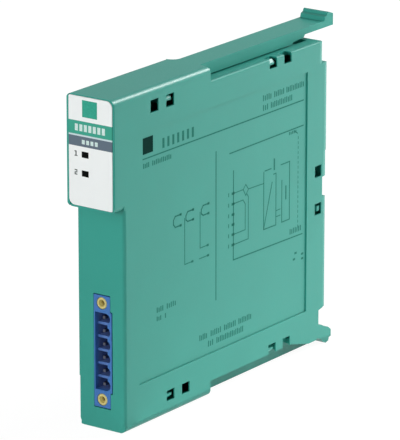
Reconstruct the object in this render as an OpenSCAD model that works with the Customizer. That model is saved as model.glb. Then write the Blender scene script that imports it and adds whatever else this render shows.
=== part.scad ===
/* [Housing] */
// Width across both side faces
width = 16; // [15:0.5:20]
// Height of the housing without the latch lip
height = 94.7; // [92:0.1:100]
// Distance from the label's face to the lower rear wall
depth = 100.4; // [98:0.1:110]
// Thickness of the housing walls
wall = 1.4; // [1.2:0.1:1.6]
// Thickness of the side cover
cover_t = 1; // [0.8:0.1:1.2]
// Radius of the long outer edges
edge_r = 1.7; // [0.8:0.1:1.8]
// Radius of the upright edges of the lower front
front_r = 0.9; // [0.2:0.1:0.9]
// Radius of the upright edges of the head
head_edge_r = 0.3; // [0.1:0.1:0.4]
// Length of the slight bevel along the upright rear edges
rear_bevel_l = 1.2; // [0.4:0.1:1.3]
// Depth of the slight bevel along the upright rear edges
rear_bevel_d = 0.2; // [0.1:0.1:0.5]
// Width of the joint line beside the cover
seam_w = 0.4; // [0.2:0.1:0.6]
// Depth of the joint line beside the cover
seam_depth = 0.3; // [0.2:0.1:0.5]
// Clearance where one piece fits into another
fit_gap = 0.1; // [0.05:0.05:0.15]

/* [Head] */
// Height of the overhanging head
head_h = 31.4; // [28:0.1:34]
// Overhang of the head over the lower front
head_reach = 4.3; // [3.5:0.1:5]
// Radius of the head's lower corners
head_r = 1.6; // [1:0.1:2.4]
// Height of the label plate above the head's face
label_proud = 0.1; // [0.1:0.1:0.5]
// Thickness of the label plate
label_t = 1; // [0.8:0.1:1.1]
// Rim of the head left round the label plate
label_rim = 0.6; // [0.4:0.1:1]
// Further rim of the label on the cover's side
cover_rim = 0.3; // [0.1:0.1:0.4]
// Radius of the two round label corners
label_r = 1.8; // [1:0.1:2.4]
// Radius of the two sharp label corners
label_small_r = 0.5; // [0.2:0.1:0.8]

/* [Indicators] */
// Width of an indicator window
indicator_w = 2.3; // [1.6:0.1:2.6]
// Height of an indicator window
indicator_h = 1.7; // [1.2:0.1:2]
// Distance of the indicators to the left of the middle
indicator_x = 1.65; // [1.2:0.1:1.8]
// Distance from the housing's top to the upper indicator
indicator_drop = 16.4; // [14:0.1:18]
// Distance between the two indicators
indicator_pitch = 5.25; // [4:0.05:6]
// Size of the light emitting diode along the board
led_l = 2; // [1.6:0.1:2.4]

/* [Ledges and rail] */
// Length of the full height block behind the lower front
block_l = 39.6; // [36:0.1:42]
// Drop of the upper ledges below the top
top_drop = 3.9; // [3.6:0.1:4.4]
// Rise of the lower ledges above the bottom
bottom_rise = 4.3; // [4:0.1:5]
// Width of the rail along the bottom
rail_w = 8.4; // [7:0.1:9]
// Radius of the ledges' outer edges
ledge_r = 0.6; // [0.3:0.1:0.9]

/* [Latch arm] */
// Width of the latch arm
arm_w = 8.4; // [7:0.1:9]
// Gap between the latch arm and the ledge below it
arm_gap = 0.4; // [0.3:0.1:1]
// Length of the root that joins the arm to the ledge
arm_root_l = 4; // [2:0.1:6]
// Radius between the arm's root and the block
arm_root_r = 2.8; // [1:0.1:2.8]
// Thickness of the arm's free end
arm_end_t = 1.9; // [1.5:0.1:2.4]
// Length of the arm's thinner free end
arm_end_l = 14.2; // [10:0.1:18]
// Length of the thinner part in front of the free end
arm_step_l = 5.8; // [2:0.1:7]
// Reach of the arm behind the lower rear wall
arm_reach = 8.7; // [7:0.1:12]
// Length of the finger lip at the arm's end
lip_l = 4; // [3:0.1:5]
// Height of the finger lip above the arm
lip_h = 2.3; // [1.8:0.1:3]
// Height of the step in front of the finger lip
lip_step_h = 1.5; // [0.8:0.1:1.7]
// Length of the step in front of the finger lip
lip_step_l = 1.2; // [0.8:0.1:1.6]
// Distance from the rear wall to the front of the catch opening
catch_l = 7.4; // [5:0.1:8]
// Web left between the catch opening and the rear wall
catch_web = 2; // [1.6:0.1:2.6]
// Rim left beside the catch opening under the arm
rim_w = 0.3; // [0.2:0.1:0.8]

/* [Rear wall and foot] */
// Thickness of the raised pad on the rear wall
pad_t = 0.3; // [0.2:0.1:1]
// Height of the raised pad's lower edge
pad_z = 58.3; // [54:0.1:62]
// Height of the raised pad
pad_h = 26; // [20:0.1:28]
// Setback of the rear wall above the pad
top_setback = 2.1; // [1:0.1:2.4]
// Height of the coding notch's lower edge
code_z = 44.7; // [43.5:0.1:46]
// Height of the coding notch
code_h = 6; // [4:0.1:7]
// Depth of the coding notch
code_depth = 1.7; // [0.6:0.1:2]
// Height of the upper edge of the foot recess
foot_gap_top = 11.2; // [11:0.1:12]
// Depth of the foot recess
foot_gap_depth = 3; // [2:0.1:3.2]
// Height of the hook's upper face at its root
hook_z = 6.5; // [6.2:0.1:6.7]
// Reach of the hook behind the lower rear wall
hook_reach = 3.4; // [3:0.1:5]
// Height of the hook's flat end above the bottom
hook_end_z = 1.5; // [1.2:0.1:1.9]
// Height of the hook's flat end
hook_end_h = 2; // [1.6:0.1:2.4]
// Length of the nose below the hook
hook_nose_l = 2.7; // [2:0.1:3.2]

/* [Side panel and windows] */
// Distance from the lower front to the sunk side panel
panel_margin = 6.6; // [5:0.1:8]
// Length of the sunk side panel
panel_l = 80; // [70:0.5:80]
// Height of the sunk side panel's lower edge
panel_z = 12.3; // [11:0.1:14]
// Height of the sunk side panel
panel_h = 70.9; // [60:0.1:73]
// Depth of the sunk side panel
panel_depth = 0.35; // [0.2:0.05:0.5]
// Width of the snap windows
window_w = 3.6; // [3:0.1:4]
// Height of the snap windows
window_h = 3; // [2.8:0.1:3.2]
// Further height of the first upper windows
window_extra = 0.5; // [0.1:0.1:0.8]
// Thickness of the lip round each window
window_lip = 0.4; // [0.3:0.1:0.6]
// Room behind the lip at each window's rear side
window_room = 1.3; // [0.6:0.1:1.4]
// Distance between the two windows of a pair
window_pitch = 7.1; // [6:0.1:8]
// Middle of the first upper window from the lower front
upper_pair = 13.8; // [10:0.1:16]
// Middle of the first lower window from the lower front
lower_pair = 20.8; // [16:0.1:22]
// Middle of the first rear window from the lower front
rear_pair = 69.6; // [64:0.1:72]
// Height of the windows above each lower edge
window_rise = 0.1; // [0:0.1:0.3]
// Length of a window in the rear edge
edge_window_w = 3.3; // [2.8:0.1:3.6]
// Height of a window in the rear edge
edge_window_h = 3.4; // [3:0.1:3.8]
// Height of the lower window in the rear edge
edge_window_z = 39.9; // [38:0.1:41]
// Distance from the rear wall to the windows in the rear edge
edge_window_back = 2.1; // [1.9:0.1:2.6]
// Distance between the two windows in the rear edge
edge_window_pitch = 11.2; // [10:0.1:14]
// Width of a snap hook of the cover
snap_w = 2.2; // [1.8:0.1:2.6]
// Thickness of a snap hook's arm
snap_t = 1.2; // [1:0.1:1.4]
// Height of a snap hook's catch
catch_h = 1.4; // [1:0.1:1.6]
// Bevel of a snap hook's catch
catch_bevel = 0.8; // [0.4:0.1:0.9]
// Setback of the cover below the head
cover_setback = 0.1; // [0.1:0.1:0.5]
// Setback of the cover's lower front corner
relief_l = 0.9; // [0.6:0.1:1.5]
// Height of the cover's lower front corner
relief_h = 13.9; // [10:0.1:18]

/* [Circuit board] */
// Thickness of the circuit board
board_t = 1.6; // [1.2:0.1:1.6]
// Space between the cover and the circuit board
board_gap = 2.9; // [2.4:0.1:3]
// Space between the circuit board's edges and the walls
board_margin = 2.4; // [2:0.1:3]
// Diameter of the posts that hold the board
post_d = 4.4; // [4:0.1:5]
// Diameter of the pegs that pass through the board
peg_d = 2; // [1.6:0.1:2.4]
// Length of the pegs behind the board
peg_l = 1.5; // [1:0.1:2]

/* [Terminal header] */
// Number of contacts in the header
contacts = 6; // [4:1:6]
// Distance between two contacts
contact_pitch = 3.81; // [3.5:0.01:4]
// Height of the header's lower end above the bottom
header_z = 6.2; // [5.5:0.1:8]
// Height of the header's body above the board
header_w = 6; // [5.8:0.1:6.2]
// Setback of the flanges' sides from the header's side
flange_drop = 0.5; // [0.2:0.1:0.6]
// Depth of the header's body
header_depth = 9.2; // [8.5:0.1:10]
// Distance from the outer contacts to the flange threads
flange_pitch = 4.25; // [3.8:0.01:4.5]
// Distance from a flange thread to the header's end
flange_end = 2.2; // [2.1:0.1:3]
// Height of the contacts above the board
contact_rise = 2.7; // [2.6:0.1:2.9]
// Thickness of a contact
contact_t = 0.8; // [0.6:0.1:1]
// Distance of the contact tips behind the header's face
contact_sink = 1; // [0.4:0.1:2]
// Height of a contact chamber
chamber_h = 3.1; // [2.8:0.1:3.3]
// Depth of a contact chamber
chamber_depth = 7.2; // [6:0.1:7.6]
// Distance from the chamber's straight side to the contact
chamber_side = 2.3; // [1.6:0.1:2.4]
// Distance from the contact to the round side of a chamber
chamber_round = 2.8; // [2:0.1:2.8]
// Setback of the webs between the chambers
web_sink = 1.4; // [0.4:0.1:2]
// Outer diameter of a flange insert
insert_d = 3.5; // [3.2:0.1:3.8]
// Diameter of a flange insert's thread
thread_d = 1.6; // [1.4:0.1:2]
// Length of a flange insert
insert_l = 6; // [4:0.1:7]
// Gap between the header and the side of its opening
header_gap = 0.3; // [0.2:0.1:0.6]
// Gap above and below the header in its opening
header_end_gap = 0.3; // [0.1:0.1:0.5]

/* [Bus connector] */
// Number of contacts in the bus connector
bus_contacts_n = 8; // [6:1:8]
// Distance between two bus contacts
bus_pitch = 2.54; // [2:0.02:2.54]
// Height of the bus connector's lower end above the bottom
bus_z = 13.3; // [13:0.1:13.8]
// Height of the bus connector's body above the board
bus_w = 6.4; // [6:0.1:7]
// Depth of the bus connector's body
bus_depth = 10.5; // [9.5:0.1:12]
// Length of the bus connector's body
bus_l = 26; // [25:0.1:26]
// Width of the slot in the bus connector
bus_slot_w = 2.4; // [2:0.1:2.8]
// Wall at each end of the bus connector's slot
bus_end = 1.6; // [1.2:0.1:2]
// Depth of the slot in the bus connector
bus_slot_depth = 7; // [5:0.1:7.5]
// Setback of the bus connector's face in the rear wall
bus_sink = 0.4; // [0.2:0.1:0.6]

/* [Transformer] */
// Length of the transformer core
core_l = 13; // [12:0.1:14]
// Width of the transformer core
core_w = 6; // [5:0.1:7]
// Height of the transformer core
core_h = 7.4; // [7:0.1:7.8]
// Thickness of the core's legs
core_leg = 1.8; // [1.5:0.1:2]
// Width of the coil former over the core's sides
former_w = 11; // [10.4:0.1:12]
// Thickness of the coil former's walls
former_t = 0.5; // [0.4:0.05:0.6]
// Height of the transformer above the board
core_rise = 0.8; // [0.5:0.1:1]

/* [Small components] */
// Diameter of a buffer capacitor
cap_d = 6.3; // [5:0.1:6.5]
// Height of a buffer capacitor
cap_h = 7.7; // [6:0.1:8]
// Height of the groove round a capacitor's can
cap_groove_z = 1.8; // [1.4:0.1:2.2]
// Width of the groove round a capacitor's can
cap_groove_w = 0.5; // [0.3:0.1:0.8]
// Side of the processor's body
cpu_side = 10; // [9:0.5:10]
// Height of a small chip's body
chip_h = 2.2; // [1.6:0.1:2.6]
// Length of a wide chip's body
chip_l = 10.3; // [9.5:0.1:10.8]
// Width of a wide chip's body
chip_w = 7.5; // [7:0.1:7.8]
// Length of an optocoupler's body
coupler_l = 6.5; // [6:0.1:7]
// Width of an optocoupler's body
coupler_w = 4.6; // [4:0.1:5]
// Height of an optocoupler's body
coupler_h = 3.5; // [2.5:0.1:3.8]
// Side of the power inductor
inductor_side = 7; // [6:0.1:7.5]
// Height of the power inductor
inductor_h = 4; // [3:0.1:5]
// Length of the quartz crystal's can
crystal_l = 11; // [10:0.1:11.5]
// Diameter of the crystal can's round ends
crystal_w = 4.4; // [4:0.1:4.8]
// Height of the crystal's can
crystal_h = 3.5; // [2.5:0.1:4]
// Length of the board's fuse
fuse_l = 6.2; // [5:0.1:7]
// Side of the board's fuse
fuse_side = 2.6; // [2:0.1:3]
// Length of an input resistor
resistor_l = 3.6; // [3:0.1:4]
// Diameter of an input resistor
resistor_d = 1.5; // [1.2:0.1:1.8]
// Length of a surge suppressor's body
suppressor_l = 4.6; // [4:0.1:5]
// Width of a surge suppressor's body
suppressor_w = 3.6; // [3:0.1:4]
// Length of a rectifier diode's body
diode_l = 4.4; // [4:0.1:4.8]
// Width of a rectifier diode's body
diode_w = 2.7; // [2.2:0.1:3]
// Height of the moulded suppressors and diodes
moulded_h = 2.3; // [1.8:0.1:2.6]

/* [Hidden] */
$fn = 48;
eps = 0.01;

// The three faces that the heights and depths are measured from
right_x = width / 2;
left_x = -width / 2;
head_y = label_proud;
front_y = head_y + head_reach;
hook_end_y = depth + hook_reach;
edge_window_y = depth - edge_window_back - edge_window_w;
cover_x = left_x + cover_t;
inner_x = right_x - wall;

// Overall depth, which sets the middle of the object
arm_end_y = depth + arm_reach;
middle_y = arm_end_y / 2;

block_end = front_y + block_l;
upper_ledge = height - top_drop;
head_z = height - head_h;
foot_y = depth - foot_gap_depth;
pad_y = depth + pad_t;
top_y = depth - top_setback;
pad_top = pad_z + pad_h;

// Plane of the board's component side and the edges of the board
board_back = cover_x + board_gap;
board_x = board_back + board_t;
board_y0 = front_y + wall + board_margin;
board_y1 = foot_y - wall - 0.6;
board_z0 = bottom_rise + wall + board_margin;
board_z1 = upper_ledge - wall - snap_t - board_margin / 2;
tab_y0 = head_y + wall + label_t + 0.4;
tab_z0 = head_z + 2 * wall;

header_l = (contacts - 1) * contact_pitch + 2 * (flange_pitch + flange_end);
header_mid = header_z + header_l / 2;
contact_x = board_x + contact_rise;
first_contact = header_z + flange_end + flange_pitch;
header_back = front_y + header_depth;
web_h = contact_pitch - chamber_h;
flange_x = board_x + header_w - flange_drop;
row_z0 = first_contact - contact_pitch / 2;
row_z1 = row_z0 + contacts * contact_pitch;

bus_y = depth - bus_sink;
bus_x = board_x + bus_w / 2;
bus_mid = bus_z + bus_l / 2;

window_z_top = upper_ledge - window_h + 0.2;
window_z_front = window_z_top - 0.2;
window_z_low = bottom_rise - window_rise;

// Places of the components, from the board's lower front corner
resistor_y = header_back + 6.5;
suppressor_y = resistor_y + 7;
sensor_at = [board_y0 + 13, board_z0 + 35];
converter_at = [board_y0 + 30, board_z0 + 14];
crystal_at = [board_y0 + 30, board_z0 + 28];
isolator_at = [board_y0 + 44, board_z0 + 14];
coupler_at = [board_y0 + 43, board_z0 + 30];
coupler_pitch = 8;
transformer_at = [board_y0 + 44, board_z0 + 58];
processor_at = [board_y0 + 62, board_z0 + 18];
diode_at = [board_y0 + 58, board_z0 + 40];
diode_pitch = 5;
inductor_at = [board_y0 + 61, board_z0 + 58];
capacitor_at = [board_y0 + 73, board_z0 + 52];
capacitor_pitch = cap_d + 2.5;
fuse_at = [board_y0 + 71, board_z0 + 40];

core_window_w = (core_l - 4 * core_leg) / 2;
core_window_x = core_leg + core_window_w / 2;
former_l = core_l - 2 * core_leg - 2 * fit_gap;
former_z0 = core_leg + fit_gap;
former_z1 = core_h - core_leg - fit_gap;
tube_l = 2 * (core_leg + former_t + fit_gap);
tube_w = core_w + 2 * (former_t + fit_gap);
rail_size = [former_l, 1.4];

post_places = [
    [board_y0 + 6, board_z0 + 37],
    [board_y0 + 6, board_z1 - 8],
    [board_y1 - 6, board_z0 + 36],
    [board_y1 - 7, board_z1 - 5]
];

// Puts the object's middle over the origin
module placed() {
    translate([0, -middle_y, 0])
        children();
}

// Draws a side view outline between two planes across the width
module across(x0, x1) {
    translate([x0, 0, 0])
        rotate([90, 0, 90])
            linear_extrude(height = x1 - x0)
                children();
}

// Draws a front view outline between two depths
module along(y0, y1) {
    translate([0, y1, 0])
        rotate([90, 0, 0])
            linear_extrude(height = y1 - y0)
                children();
}

// Sets a component on the board, with its height pointing away from the board
module on_board(y, z) {
    translate([board_x, y, z])
        rotate([90, 0, 90])
            children();
}

// A box given by its two opposite corners
module box(low, high) {
    translate(low)
        cube(high - low);
}

// A rectangle from low to high with one radius for each corner, from low left round to upper left
module round_rect(low, high, radii) {
    corners = [low, [high[0], low[1]], high, [low[0], high[1]]];
    difference() {
        translate(low)
            square(high - low);
        for (i = [0 : 3])
            translate(corners[i])
                rotate(90 * i)
                    corner_waste(radii[i]);
    }
}

// What rounding takes off a lower left corner
module corner_waste(r) {
    difference() {
        translate([-1, -1])
            square(r + 1);
        translate([r, r])
            circle(r);
    }
}

// Side view of the housing without its hook, rail and arm, drawn in by a margin
function body_outline(m) = [
    [front_y + m, m],
    [block_end - m, m],
    [block_end - m, bottom_rise + m],
    [foot_y - m, bottom_rise + m],
    [foot_y - m, foot_gap_top - 0.3 + m],
    [depth - m, foot_gap_top + 0.3 + m],
    [depth - m, code_z - m],
    [depth - code_depth - m, code_z - m],
    [depth - code_depth - m, code_z + code_h + m],
    [depth - m, code_z + code_h + m],
    [depth - m, pad_z + m],
    [pad_y - m, pad_z + m],
    [pad_y - m, pad_top - m],
    [top_y - m, pad_top - m],
    [top_y - m, upper_ledge - m],
    [block_end - m, upper_ledge - m],
    [block_end - m, height - m],
    [head_y + m, height - m],
    [head_y + m, head_z + m],
    [front_y + m, head_z + m]
];

// Hook at the foot of the rear wall, with its root, its sloping top and its nose
function hook_outline() = [
    [foot_y - 14, bottom_rise + wall],
    [foot_y - 14, bottom_rise],
    [foot_y - 8, hook_end_z + 1.4],
    [foot_y - 5.2, hook_end_z + 0.6],
    [foot_y - 1.2, hook_end_z + 0.6],
    [foot_y - 0.8, hook_end_z + 1.1],
    [foot_y + 0.8, hook_end_z + 0.6],
    [hook_end_y - 1 - hook_nose_l, 0.5],
    [hook_end_y - 2.6, 0],
    [hook_end_y - 1.2, 0.4],
    [hook_end_y - 1, hook_end_z - 0.2],
    [hook_end_y, hook_end_z],
    [hook_end_y, hook_end_z + hook_end_h],
    [hook_end_y - 1.4, hook_end_z + hook_end_h + 1.1],
    [foot_y + 2.6, hook_z - 1.1],
    [foot_y + 1.8, hook_z - 0.5],
    [foot_y, hook_z],
    [foot_y - wall, hook_z]
];

// Side view of the latch arm, from its root to the lip that a finger lifts
function arm_outline() = [
    [block_end - wall, upper_ledge],
    [block_end + arm_root_l, upper_ledge],
    [block_end + arm_root_l, upper_ledge + arm_gap],
    [arm_end_y - arm_end_l - arm_step_l - 0.5, upper_ledge + arm_gap],
    [arm_end_y - arm_end_l - arm_step_l, upper_ledge + arm_gap + 0.5],
    [arm_end_y - arm_end_l - 0.4, upper_ledge + arm_gap + 0.9],
    [arm_end_y - arm_end_l, height - arm_end_t],
    [arm_end_y, height - arm_end_t],
    [arm_end_y, height + lip_step_h],
    [arm_end_y - lip_l + lip_step_l + 0.6, height + lip_h],
    [arm_end_y - lip_l + lip_step_l, height + lip_h - 0.2],
    [arm_end_y - lip_l + lip_step_l - 0.2, height + lip_step_h],
    [arm_end_y - lip_l, height + lip_step_h - 0.4],
    [arm_end_y - lip_l - 0.4, height],
    [block_end - wall, height]
];

// Front view of the whole housing with its rounded long edges
module front_outline() {
    round_rect([left_x, 0], [right_x, height], [edge_r, edge_r, edge_r, edge_r]);
}

// Upright edge waste at a corner, seen from above
module upright_waste(x, y, z0, z1, r, turn) {
    translate([x, y, z0])
        rotate(turn)
            linear_extrude(height = z1 - z0)
                corner_waste(r);
}

// What the slight bevel takes off an upright rear edge, seen from above
module bevel_waste(y, z0, z1) {
    for (side = [0, 1])
        mirror([side, 0, 0])
            translate([right_x, y, z0])
                linear_extrude(height = z1 - z0)
                    polygon([
                        [0, -rear_bevel_l], [1, -rear_bevel_l],
                        [1, 1], [-rear_bevel_d, 1], [-rear_bevel_d, 0]
                    ]);
}

// Lengthwise edge waste along a ledge
module ledge_waste(x, z, turn) {
    along(block_end, hook_end_y + 1)
        translate([x, z])
            rotate(turn)
                corner_waste(ledge_r);
}

// All the rounding of the outer edges that run upright or along the ledges
module edge_waste() {
    for (side = [0, 1]) {
        x = side == 0 ? left_x : right_x;
        upright_waste(x, head_y, head_z - 1, height + 1, head_edge_r, side * 90);
        upright_waste(x, front_y, -1, head_z, front_r, side * 90);
        ledge_waste(x, upper_ledge, 270 - side * 90);
    }
    bevel_waste(depth, foot_gap_top - 1, pad_z);
    bevel_waste(pad_y, pad_z, pad_top);
    bevel_waste(top_y, pad_top, upper_ledge + 1);
}

// Outer form between two planes across the width, drawn in by a margin
module outer_form(x0, x1, m) {
    difference() {
        intersection() {
            across(x0, x1)
                polygon(body_outline(m));
            along(head_y - 1, pad_y + 1)
                front_outline();
        }
        edge_waste();
        head_corner_waste();
    }
}

// Round lower corners of the overhanging head
module head_corner_waste() {
    along(head_y - 1, front_y) {
        translate([left_x, head_z])
            corner_waste(head_r);
        translate([right_x, head_z])
            rotate(90)
                corner_waste(head_r);
    }
}

// Plan view of the round corner between the left ledge and the arm
module arm_root() {
    translate([-arm_w / 2 - arm_root_r, block_end, upper_ledge])
        linear_extrude(height = top_drop)
            difference() {
                translate([0, -eps])
                    square([arm_root_r + eps, arm_root_r + eps]);
                translate([0, arm_root_r])
                    circle(arm_root_r);
            }
}

// Flexible latch arm over the upper ledge
module latch_arm() {
    across(-arm_w / 2, arm_w / 2)
        polygon(arm_outline());
    arm_root();
}

// Rail along the bottom, joined to the floor between the lower ledges
module bottom_rail() {
    box([-rail_w / 2, block_end - wall, 0], [rail_w / 2, foot_y, bottom_rise + wall]);
}

// Space inside the housing, open towards the cover
module cavity() {
    across(cover_x - 1, inner_x)
        polygon(body_outline(wall));
    box([-rail_w / 2 + wall, front_y + wall, wall],
        [rail_w / 2 - wall, foot_y - 1 - wall, bottom_rise + wall + 1]);
}

// One window through the right wall, with its lower front corner, and the room behind its lip
module window(y, z, w, h, room_h) {
    lip_x = right_x - window_lip;
    box([inner_x - 1, y, z], [right_x + 1, y + w, z + h]);
    box([inner_x - 1, y - 0.2, z - 0.3], [lip_x, y + w + window_room, z + room_h]);
}

// Windows in pairs near the upper and lower edges, and two in the rear edge
module windows() {
    for (i = [0, 1]) {
        shift = i * window_pitch - window_w / 2 + front_y;
        window(upper_pair + shift, window_z_front, window_w, window_h + window_extra, window_h + window_extra);
        window(rear_pair + shift, window_z_top, window_w, window_h + 1, window_h - 0.5);
        window(lower_pair + shift, window_z_low - 0.1, window_w, window_h, window_h);
        window(rear_pair + shift, window_z_low - 1, window_w, window_h + 0.9, window_h + 0.9);
        window(edge_window_y, edge_window_z + i * edge_window_pitch,
            edge_window_w, edge_window_h, edge_window_h);
    }
}

// Posts inside the housing that press the board against the cover's posts
module housing_posts() {
    for (p = post_places)
        difference() {
            translate([board_x, p[0], p[1]])
                rotate([0, 90, 0])
                    cylinder(d = post_d, h = inner_x - board_x + eps);
            translate([board_x - 1, p[0], p[1]])
                rotate([0, 90, 0])
                    cylinder(d = peg_d + 2 * fit_gap, h = peg_l + fit_gap + 1);
        }
}

// Outline of the label plate with two round and two sharp corners
module label_outline(gap) {
    low = [left_x + label_rim + cover_rim - gap, head_z + label_rim - gap];
    high = [right_x - label_rim + gap, height - label_rim + 0.2 + gap];
    round_rect(low, high, [label_r, label_small_r, label_r, label_small_r]);
}

// Places of the two indicator windows
function indicator_z(i) = height - indicator_drop - i * indicator_pitch;

// Opening for one indicator, wider by a gap
module indicator_outline(i, gap) {
    translate([-indicator_x, indicator_z(i)])
        square([indicator_w + 2 * gap, indicator_h + 2 * gap], center = true);
}

// Seat of the label plate, sunk into the head and the edge of the cover
module label_seat() {
    along(head_y - 1, label_t + fit_gap)
        label_outline(fit_gap);
}

// Openings of the front wall for the label plate, the indicators and the header
module front_openings() {
    label_seat();
    for (i = [0, 1])
        along(head_y - 1, head_y + wall + 1)
            indicator_outline(i, fit_gap);
    box([board_x - fit_gap, front_y - 1, header_z - header_end_gap],
        [flange_x + fit_gap, front_y + wall + 1, header_z + header_l + header_end_gap]);
    box([flange_x - 1, front_y - 1, row_z0 - header_end_gap],
        [board_x + header_w + header_gap, front_y + wall + 1, row_z1 + header_end_gap]);
}

// Opening of the rear wall for the bus connector
module rear_opening() {
    box([board_x - fit_gap, bus_y - bus_depth, bus_z - fit_gap],
        [board_x + bus_w + fit_gap, depth + 1, bus_z + bus_l + fit_gap]);
}

// Opening under the arm's free end, for the catch that the arm snaps on
module catch_opening() {
    box([-arm_w / 2 + rim_w, top_y - catch_l, upper_ledge - wall - 1],
        [arm_w / 2 - rim_w, top_y - catch_web, upper_ledge + eps]);
}

// Sunk panel of the right side face
module panel_recess() {
    box([right_x - panel_depth, front_y + panel_margin, panel_z],
        [right_x + 1, front_y + panel_margin + panel_l, panel_z + panel_h]);
}

// Joint line sunk round the edge next to the cover
module seam_groove() {
    difference() {
        box([cover_x - 1, head_y - 1, -1], [cover_x + seam_w, pad_y + 1, height + 1]);
        across(cover_x - 2, cover_x + seam_w + 1)
            polygon(body_outline(seam_depth));
        box([cover_x - 2, foot_y - 8, -2], [cover_x + seam_w + 1, foot_y + 10, hook_z + 0.4]);
        box([cover_x - 2, front_y - 1, -2], [cover_x + seam_w + 1, front_y + 1, head_z]);
    }
}

// Moulded housing with its open left side, latch arm, rail and hook in one piece
module housing() {
    color([0.32, 0.64, 0.58])
    placed()
    difference() {
        union() {
            difference() {
                outer_form(cover_x, right_x, 0);
                seam_groove();
            }
            bottom_rail();
            latch_arm();
            across(cover_x, right_x)
                polygon(hook_outline());
        }
        difference() {
            cavity();
            housing_posts();
        }
        windows();
        front_openings();
        rear_opening();
        catch_opening();
        panel_recess();
    }
}

// One snap hook that reaches from the cover into its window, with a bevelled catch
module snap_hook(y, z, catch_up) {
    root_x = inner_x - 0.8;
    end_x = right_x - 0.3;
    base = catch_up > 0 ? z + snap_t - 0.2 : z + 0.2;
    tip = base + catch_up * catch_h;
    box([cover_x - eps, y, z], [inner_x - 0.3, y + snap_w, z + snap_t]);
    along(y, y + snap_w)
        polygon([
            [root_x, base],
            [end_x, base],
            [end_x, tip - catch_up * catch_bevel],
            [end_x - catch_bevel, tip],
            [root_x, tip]
        ]);
}

// Front side of the snap hook that belongs to a window
function snap_y(middle) = front_y + middle - window_w / 2 + 0.3;

// Flat cover of the left side with its snap hooks, board posts and pegs
module side_cover() {
    color([0.3, 0.6, 0.54])
    placed() {
        difference() {
            outer_form(left_x, cover_x, 0);
            box([left_x - 1, front_y - 1, -1], [cover_x + 1, front_y + cover_setback, head_z]);
            box([left_x - 1, front_y - 1, -1], [cover_x + 1, front_y + relief_l, relief_h]);
            label_seat();
        }
        snap_hook(snap_y(upper_pair + window_pitch), window_z_top + window_extra, 1);
        snap_hook(snap_y(rear_pair), window_z_top, 1);
        for (y = [lower_pair, rear_pair])
            snap_hook(snap_y(y), window_z_low + window_h - snap_t - 0.2, -1);
        box([cover_x - eps, edge_window_y + 1.4, edge_window_z + edge_window_h / 2 - 0.7],
            [right_x - 0.3, edge_window_y + 1.4 + snap_t, edge_window_z + edge_window_h / 2 + 0.7]);
        for (p = post_places) {
            translate([cover_x - eps, p[0], p[1]])
                rotate([0, 90, 0])
                    cylinder(d = post_d, h = board_gap + eps);
            translate([cover_x, p[0], p[1]])
                rotate([0, 90, 0])
                    cylinder(d = peg_d, h = board_gap + board_t + peg_l);
        }
    }
}

// Label carrier that snaps into the head
module label_plate() {
    color([0.92, 0.93, 0.93])
    placed()
    difference() {
        along(0, label_t)
            label_outline(0);
        for (i = [0, 1])
            along(-1, label_t + 1)
                indicator_outline(i, 0);
    }
}

// Tinted light pipe from the label's face to its diode
module light_pipe(i) {
    color([0.08, 0.1, 0.1])
    placed()
    along(0, tab_y0 - fit_gap)
        indicator_outline(i, 0);
}

module upper_light_pipe() {
    light_pipe(0);
}

module lower_light_pipe() {
    light_pipe(1);
}

// Light emitting diode on the board, behind its pipe
module led(i) {
    color([0.9, 0.9, 0.8])
    placed()
    on_board(tab_y0 + fit_gap, indicator_z(i) - indicator_h / 2) {
        cube([led_l, indicator_h, 0.8]);
        translate([0, 0.2, 0])
            cube([led_l - 0.5, indicator_h - 0.4, indicator_w]);
    }
}

module upper_led() {
    led(0);
}

module lower_led() {
    led(1);
}

// Front view of one contact chamber, straight on the left and round on the right
module chamber_outline() {
    r = chamber_h / 2;
    translate([-chamber_side, -r])
        square([chamber_side + chamber_round - r, chamber_h]);
    translate([chamber_round - r, 0])
        circle(r);
}

// Centre heights of the two flange threads
function flange_z(i) = header_z + flange_end + i * (header_l - 2 * flange_end);

// One right angled contact from its chamber down through the board
module contact(gap) {
    t = contact_t / 2 + gap;
    box([-t, contact_sink, -t], [t, header_depth + 1.6 + t, t]);
    box([-contact_rise - board_t - 1, header_depth + 1.6 - t, -t], [t, header_depth + 1.6 + t, t]);
}

// All contacts of the header in their places
module contact_row(gap) {
    for (i = [0 : contacts - 1])
        translate([contact_x, front_y, first_contact + i * contact_pitch])
            contact(gap);
}

// Header body with its row of chambers and its two flanges
module header_body() {
    color([0.24, 0.42, 0.66])
    placed()
    difference() {
        union() {
            box([board_x, front_y, header_z], [flange_x, header_back, header_z + header_l]);
            box([board_x, front_y, row_z0], [board_x + header_w, header_back, row_z1]);
        }
        for (i = [0 : contacts - 1])
            along(front_y - 1, front_y + chamber_depth)
                translate([contact_x, first_contact + i * contact_pitch])
                    chamber_outline();
        box([contact_x - chamber_side, front_y - 1, first_contact],
            [contact_x + chamber_side - 0.4, front_y + web_sink, first_contact + (contacts - 1) * contact_pitch]);
        contact_row(0);
        for (i = [0, 1])
            translate([contact_x, front_y - 1, flange_z(i)])
                rotate([-90, 0, 0])
                    cylinder(d = insert_d, h = insert_l + 1);
    }
}

module header_contacts() {
    color([0.72, 0.72, 0.7])
    placed()
    contact_row(0);
}

// Threaded brass insert in one flange
module flange_insert(i) {
    color([0.83, 0.68, 0.35])
    placed()
    translate([contact_x, front_y, flange_z(i)])
        rotate([-90, 0, 0])
            difference() {
                cylinder(d = insert_d, h = insert_l);
                translate([0, 0, -1])
                    cylinder(d = thread_d, h = insert_l);
            }
}

module upper_flange_insert() {
    flange_insert(1);
}

module lower_flange_insert() {
    flange_insert(0);
}

// Bus contact heights
function bus_contact_z(i) = bus_mid + (i - (bus_contacts_n - 1) / 2) * bus_pitch;

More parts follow.
